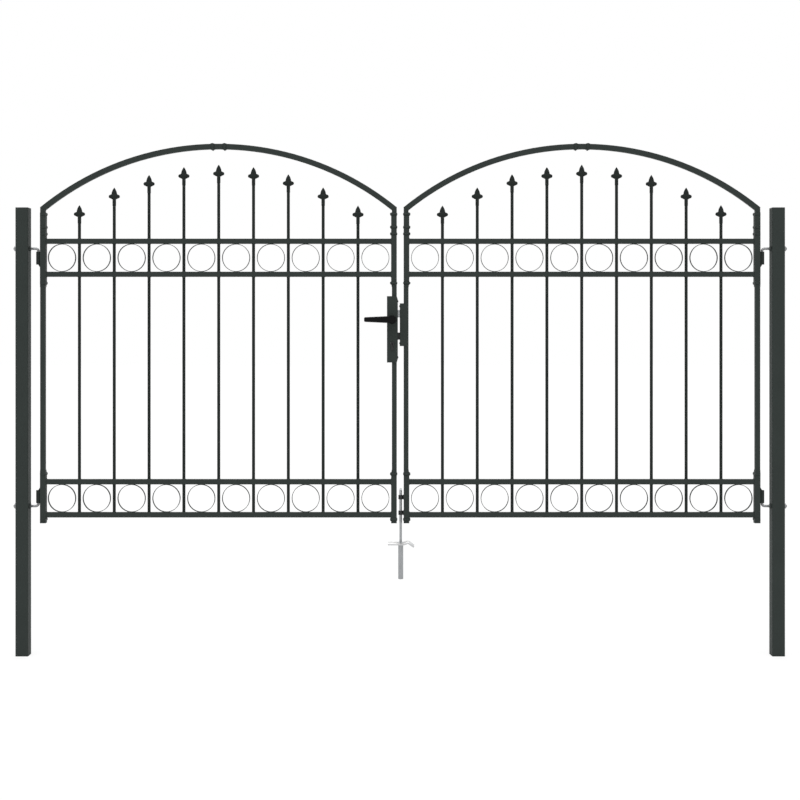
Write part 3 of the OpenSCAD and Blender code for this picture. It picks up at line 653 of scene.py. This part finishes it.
bpy.data.meshes.remove(spearPattern)
print("spears made")


# Stile sleeves, whose beads on the hinge side are flatter and stop at the stile's outer face

sleeveTrim = {
    "wall": 3 * mm, "skin": 2 * mm, "bead": 4.4 * mm,
    "keep": 0.4,  # share of a bead's height that is left
    "reach": 30 * mm, "proud": 0.05 * mm, "spare": 0.1 * mm,
    "plain": 40 * mm * mm,
}


def nearUpright(bm, x):
    return [corner for corner in bm.verts if abs(corner.co.x - x) < sleeveTrim["reach"]]


for side, inward in inwards.items():
    low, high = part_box(side + "_hinge_stile")
    outer, inner = outerInner(low, high, side)
    wall = inner + inward * sleeveTrim["wall"]
    bm = nodeCopy(side + "_stile_sleeves")
    beads = [corner for corner in nearUpright(bm, outer)
             if (corner.co.x - wall) * inward > sleeveTrim["proud"]]
    bmesh.ops.scale(bm, verts=beads, vec=(sleeveTrim["keep"], 1, 1), space=Matrix.Translation((-wall, 0, 0)))
    rim = outer - inward * sleeveTrim["spare"]
    skin = high.y + sleeveTrim["skin"] + sleeveTrim["spare"]
    bead = inward * sleeveTrim["bead"]
    across = abs(wall - outer)
    cuts = [((rim, 0, 0), (-inward, 0, 0)),
            ((rim, -skin, 0), (-bead, -across, 0)),
            ((rim, skin, 0), (-bead, across, 0))]
    for place, slope in cuts:
        corners = nearUpright(bm, outer)
        faces = list(dict.fromkeys(face for corner in corners for face in corner.link_faces))
        cutAway(bm, corners + linkedEdges(corners) + faces, place, slope)
    sleeves = addPiece(bm, side + "_beaded_sleeves", side + "_leaf", "powder_coat")
    plainFaces(sleeves, sleeveTrim["plain"])
    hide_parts(side + "_stile_sleeves")
print("sleeves trimmed")


# Splice collars, longer along the arch, with fuller beads under it

spliceCollar = {
    "tube": 21 * mm, "wall": 1 * mm,
    "long": 1.38, "full": 2.5,  # times the node's length, and times its beads' height
    "plain": 40 * mm * mm,
}
for side in inwards:
    low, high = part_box(side + "_arch_splice")
    middle = (low + high) / 2
    under = middle.z - spliceCollar["tube"] / 2 - spliceCollar["wall"]
    bm = nodeCopy(side + "_arch_splice")
    beads = [corner for corner in bm.verts if corner.co.z < under]
    bmesh.ops.scale(bm, verts=beads, vec=(1, 1, spliceCollar["full"]),
                    space=Matrix.Translation((0, 0, -under)))
    for way in (-1, 1):
        collar = [corner for corner in bm.verts if (corner.co.x - middle.x) * way > 0]
        places = [corner.co.x for corner in collar]
        axisX = (min(places) + max(places)) / 2
        bmesh.ops.scale(bm, verts=collar, vec=(spliceCollar["long"], 1, 1),
                        space=Matrix.Translation((-axisX, 0, 0)))
    collars = addPiece(bm, side + "_splice_collars", side + "_leaf", "powder_coat")
    plainFaces(collars, spliceCollar["plain"])
    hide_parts(side + "_arch_splice")
print("collars made")


# Hinge bolts with a rolled thread along the shank, bent into a plain pin

hingeBolt = {
    "pitch": 1.5 * mm,
    "tooth": [(0.0, 0.65), (0.4, 0.0), (0.6, 0.0), (1.0, 0.65)],  # share of the pitch and depth in mm
    "turnSteps": 18,
    "plain": 9 * mm,  # bare shank before the bend
    "inset": 0.05 * mm,  # the bar below the thread's crest
    "bend": 10 * mm,
    "bendSteps": 8,
    "pin": 60 * mm,
    "chamfer": 1 * mm,
    "sides": 24,
}


def threadAlongX(bm, start, end, radius):
    pitch, steps = hingeBolt["pitch"], hingeBolt["turnSteps"]
    first = Vector((start - pitch, 0, 0))
    corners = [bm.verts.new(first + Vector((share * pitch, 0, radius - deep * mm)))
               for share, deep in hingeBolt["tooth"]]
    edges = [bm.edges.new(pair) for pair in pairs(corners)]
    turns = math.ceil((end - start) / pitch) + 1
    bmesh.ops.spin(bm, geom=corners + edges, cent=first, axis=(1, 0, 0), dvec=(pitch / steps, 0, 0),
                   angle=2 * math.pi * turns, steps=steps * turns)
    bmesh.ops.remove_doubles(bm, verts=bm.verts, dist=mergeReach)
    for x, outward in ((start, -1), (end, 1)):
        cutAway(bm, bm.verts[:] + bm.edges[:] + bm.faces[:], (x, 0, 0), (outward, 0, 0))


def bentBar(bm, start, bendX, radius):
    bend, pin, chamfer = hingeBolt["bend"], hingeBolt["pin"], hingeBolt["chamfer"]
    standing = Matrix.Translation((start, 0, 0)) @ Matrix.Rotation(quarterTurn, 4, "Y")
    circle = bmesh.ops.create_circle(bm, cap_ends=False, radius=radius, segments=hingeBolt["sides"],
                                     matrix=standing)
    edges = linkedEdges(circle["verts"])
    bmesh.ops.edgeloop_fill(bm, edges=edges)
    corners, edges = drawLoop(bm, edges, (bendX - start, 0, 0))
    elbow = bmesh.ops.spin(bm, geom=corners + edges, cent=(bendX, 0, -bend), axis=(0, 1, 0),
                           angle=quarterTurn, steps=hingeBolt["bendSteps"])["geom_last"]
    corners, edges = drawLoop(bm, ofKind(elbow, bmesh.types.BMEdge), (0, 0, bend + chamfer - pin))
    corners, edges = drawLoop(bm, edges, (0, 0, -chamfer))
    tip = Vector((bendX + bend, 0, -pin))
    slimmer = 1 - chamfer / radius
    bmesh.ops.scale(bm, verts=corners, vec=(slimmer, slimmer, 1), space=Matrix.Translation(-tip))
    bmesh.ops.edgeloop_fill(bm, edges=edges)


low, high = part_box("left_hinge_bolts")
boltRadius = (high.y - low.y) / 2
bendX = high.x - boltRadius - hingeBolt["bend"]
threadEnd = bendX - hingeBolt["plain"]
bm = bmesh.new()
threadAlongX(bm, low.x, threadEnd, boltRadius)
bentBar(bm, threadEnd - hingeBolt["pitch"], bendX, boltRadius - hingeBolt["inset"])
boltPattern = meshFrom(bm, "boltPattern")
upperBolt = Matrix.Translation((0, 0, high.z - boltRadius))
lowerBolt = Matrix.Translation((0, 0, low.z + boltRadius)) @ Matrix.Rotation(math.pi, 4, "X")
acrossGate = Matrix.Translation((2 * gateMiddle, 0, 0)) @ Matrix.Rotation(math.pi, 4, "Z")
for side, there in (("left", Matrix.Identity(4)), ("right", acrossGate)):
    bm = bmesh.new()
    for place in (upperBolt, lowerBolt):
        stamp(bm, boltPattern, there @ place)
    bolts = addPiece(bm, side + "_threaded_hinge_bolts", "posts", "zinc_steel", boltZinc)
    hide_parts(side + "_hinge_bolts")
bpy.data.meshes.remove(boltPattern)
print("hinge bolts made")


# Hexagon nuts on the hinge bolts, with a washer under each outer one

hingeNut = {
    "flats": 17 * mm, "sides": 6, "bore": 4.5 * mm, "chamfer": 1.1 * mm,
    "outer": 7.5 * mm, "inner": 5.5 * mm,  # heights of the nuts outside and inside the posts
    "washer": 10.5 * mm, "washerHigh": 2 * mm, "washerChamfer": 1.1 / 3 * mm, "washerSteps": 32,
}


def nutOutline(corner, chamfer, start, end):
    bore = hingeNut["bore"]
    return [(bore, start), (corner - chamfer, start), (corner, start + chamfer / 2),
            (corner, end - chamfer / 2), (corner - chamfer, end), (bore, end)]


nutCorner = hingeNut["flats"] / 2 / math.cos(math.pi / hingeNut["sides"])
washerHigh = hingeNut["washerHigh"]
washer = nutOutline(hingeNut["washer"], hingeNut["washerChamfer"], 0, washerHigh)
outerNut = nutOutline(nutCorner, hingeNut["chamfer"], washerHigh, washerHigh + hingeNut["outer"])
innerNut = nutOutline(nutCorner, hingeNut["chamfer"], 0, hingeNut["inner"])
for side, inward in inwards.items():
    boltLow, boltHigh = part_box(side + "_hinge_bolts")
    outer, inner = outerInner(*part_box(side + "_post"), side)
    stack = [(outer, -inward, washer, hingeNut["washerSteps"]),
             (outer, -inward, outerNut, hingeNut["sides"]),
             (inner, inward, innerNut, hingeNut["sides"])]
    bm = bmesh.new()
    for z in (boltHigh.z - boltRadius, boltLow.z + boltRadius):
        for x, way, outline, steps in stack:
            before = len(bm.verts)
            turnedRing(bm, origin, outline, steps)
            lying = Matrix.Translation((x, 0, z)) @ Matrix.Rotation(quarterTurn * way, 4, "Y")
            bmesh.ops.transform(bm, matrix=lying, verts=bm.verts[before:])
    nuts = addPiece(bm, side + "_hexagon_nuts", "posts", "dark_zinc", nutZinc)
    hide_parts(side + "_hinge_nuts")
print("nuts made")


# Galvanized strap of the ground socket, one wing flat and one bent up and over

anchorStrap = {
    "line": [(-49.5, -1.2), (14.0, -1.2), (28.5, 5.6), (53.0, -12.0)],  # out from the socket and up, in mm
    "thick": 6 * mm, "bend": 5 * mm, "bendSteps": 5,
    "round": 0.8 * mm, "roundSteps": 2, "rimAngle": math.radians(60),
}
bm = bmesh.new()
low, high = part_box("socket_anchor")
foot = Vector((socketX, low.y, socketHigh.z - socketWeld["rim"]))
corners = [bm.verts.new(foot + Vector((out * mm, 0, rise * mm))) for out, rise in anchorStrap["line"]]
for pair in pairs(corners):
    bm.edges.new(pair)
bmesh.ops.bevel(bm, geom=corners[1:-1], offset=anchorStrap["bend"], segments=anchorStrap["bendSteps"],
                profile=0.5, affect="VERTICES", material=-1)
drawn = bmesh.ops.extrude_edge_only(bm, edges=bm.edges[:])["geom"]
bmesh.ops.translate(bm, verts=ofKind(drawn, bmesh.types.BMVert), vec=(0, high.y - low.y, 0))
bmesh.ops.recalc_face_normals(bm, faces=bm.faces)
if sum(face.normal.z for face in bm.faces) < 0:
    bmesh.ops.reverse_faces(bm, faces=bm.faces)
bmesh.ops.solidify(bm, geom=bm.faces[:], thickness=anchorStrap["thick"])
bmesh.ops.recalc_face_normals(bm, faces=bm.faces)
rims = [edge for edge in bm.edges if edge.is_manifold and edge.calc_face_angle() > anchorStrap["rimAngle"]]
bmesh.ops.bevel(bm, geom=rims, offset=anchorStrap["round"], segments=anchorStrap["roundSteps"],
                profile=0.5, affect="EDGES", material=-1)
strap = addPiece(bm, "bent_anchor_strap", "posts", "bright_zinc")
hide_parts("socket_anchor")
print("strap made")


# Ground socket, a little longer at its foot

longSocket = {"longer": 4.2 * mm}
bm = nodeCopy("ground_socket")
foot = [corner for corner in bm.verts if corner.co.z < (socketLow.z + socketHigh.z) / 2]
bmesh.ops.translate(bm, verts=foot, vec=(0, 0, -longSocket["longer"]))
socket = addPiece(bm, "long_ground_socket", "posts", "zinc_steel")
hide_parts("ground_socket")
print("socket made")


# Button screws with a hexagon socket, in the lock's front and the strike's face

buttonScrew = {
    "radius": 4.0 * mm, "high": 2.2 * mm, "sunk": 0.5 * mm, "sides": 24,
    "dome": [(1.0, 0.25), (0.92, 0.62), (0.74, 0.90), (0.52, 1.0)],  # shares of the radius and the height
    "key": 1.4 * mm, "keySides": 6, "keyDeep": 1.2 * mm,
    "fromEnd": {"lock_case": 20 * mm, "strike_channel": 11 * mm},
}


# A domed head that stands on z = 0, with its foot sunk and closed
def buttonHead():
    radius, high = buttonScrew["radius"], buttonScrew["high"]
    dome = [(radius * out, high * rise) for out, rise in buttonScrew["dome"]]
    bm = bmesh.new()
    turnedRing(bm, origin, [(radius, -buttonScrew["sunk"])] + dome, buttonScrew["sides"], closed=False)
    openEdges = [edge for edge in bm.edges if edge.is_boundary]
    rim = [edge for edge in openEdges if edge.verts[0].co.z > 0]
    foot = [edge for edge in openEdges if edge.verts[0].co.z < 0]
    bmesh.ops.edgeloop_fill(bm, edges=foot)
    key = bmesh.ops.create_circle(bm, cap_ends=False, radius=buttonScrew["key"],
                                  segments=buttonScrew["keySides"], matrix=Matrix.Translation((0, 0, high)))
    keyEdges = linkedEdges(key["verts"])
    bmesh.ops.bridge_loops(bm, edges=rim + keyEdges)
    corners, edges = drawLoop(bm, keyEdges, (0, 0, -buttonScrew["keyDeep"]))
    bmesh.ops.edgeloop_fill(bm, edges=edges)
    return meshFrom(bm, "screwPattern")


screwPattern = buttonHead()
for node, body, outward in (("lock_case", "left_leaf", 1), ("strike_channel", "right_leaf", -1)):
    low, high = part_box(node)
    faceX = high.x if outward > 0 else low.x
    turn = Vector((outward, 0, 0)).to_track_quat("Z", "Y").to_matrix().to_4x4()
    bm = bmesh.new()
    for z in (low.z + buttonScrew["fromEnd"][node], high.z - buttonScrew["fromEnd"][node]):
        stamp(bm, screwPattern, Matrix.Translation((faceX, 0, z)) @ turn)
    addPiece(bm, node + "_screws", body, "dark_zinc")
bpy.data.meshes.remove(screwPattern)
print("screws made")


# Camera, light and floor

def turned(degrees):
    return [math.radians(angle) for angle in degrees]


camera = {
    "stand": (1.4742, -5.525, 1.2875),  # level, square to the gate, eye height of the photograph
    "turn": (90, 0, 0),
    "lens": 63.53,
    "shiftY": -0.0925,
}
cameraData = bpy.data.cameras.new("frontCamera")
cameraData.lens = camera["lens"]
cameraData.sensor_fit = "HORIZONTAL"
cameraData.shift_y = camera["shiftY"]
frontCamera = bpy.data.objects.new("frontCamera", cameraData)
frontCamera.location = camera["stand"]
frontCamera.rotation_euler = turned(camera["turn"])
bpy.context.scene.collection.objects.link(frontCamera)
bpy.context.scene.camera = frontCamera
bpy.context.scene.view_settings.view_transform = "Standard"

studio = {
    "ambient": 0.55,  # strength of the light that falls on the gate
    "backdrop": 1.0,  # strength of the white that is seen, also in mirrors
    "suns": [
        {"name": "leftSoftbox", "turn": (35, 0, -38), "strength": 1.1, "spread": 60},
        {"name": "rightSoftbox", "turn": (35, 0, 38), "strength": 0.9, "spread": 60},
        {"name": "backSoftbox", "turn": (40, 0, 180), "strength": 1.2, "spread": 60},
    ],
}
white = opaque((1, 1, 1))
world = bpy.data.worlds.new("studio")
world.use_nodes = True
bpy.context.scene.world = world
bench = Bench(world.node_tree)
seen = bench.ray("Is Camera Ray").larger(bench.ray("Is Glossy Ray")).larger(bench.ray("Is Transmission Ray"))
ambient = bench.add("ShaderNodeBackground", sockets={"Color": white, "Strength": studio["ambient"]})
backdrop = bench.add("ShaderNodeBackground", sockets={"Color": white, "Strength": studio["backdrop"]})
mixed = bench.add("ShaderNodeMixShader", sockets={0: seen, 1: ambient, 2: backdrop})
bench.add("ShaderNodeOutputWorld", sockets={"Surface": mixed})
for sun in studio["suns"]:
    lamp = bpy.data.lights.new(sun["name"], "SUN")
    lamp.energy = sun["strength"]
    lamp.angle = math.radians(sun["spread"])
    softbox = bpy.data.objects.new(sun["name"], lamp)
    softbox.rotation_euler = turned(sun["turn"])
    bpy.context.scene.collection.objects.link(softbox)

floor = {"side": 80.0, "below": 0.5 * mm, "colour": (0.86, 0.86, 0.86), "whiteShare": 0.8, "glow": 1.0}
floorMaterial, bench = newFinish("paleFloor")
share = bench.ray("Is Camera Ray") * floor["whiteShare"]
matte = bench.add("ShaderNodeBsdfDiffuse", sockets={"Color": opaque(floor["colour"])})
glow = bench.add("ShaderNodeEmission", sockets={"Color": white, "Strength": floor["glow"]})
mixed = bench.add("ShaderNodeMixShader", sockets={0: share, 1: matte, 2: glow})
bench.add("ShaderNodeOutputMaterial", sockets={"Surface": mixed})
bm = bmesh.new()
bmesh.ops.create_grid(bm, x_segments=1, y_segments=1, size=floor["side"] / 2)
bmesh.ops.translate(bm, verts=bm.verts, vec=(0, 0, cadBox[0][2] - floor["below"]))
floorMesh = meshFrom(bm, "floor")
floorMesh.materials.append(floorMaterial)
floorPiece = bpy.data.objects.new("floor", floorMesh)
bpy.context.scene.collection.objects.link(floorPiece)
print("camera, light and floor set")
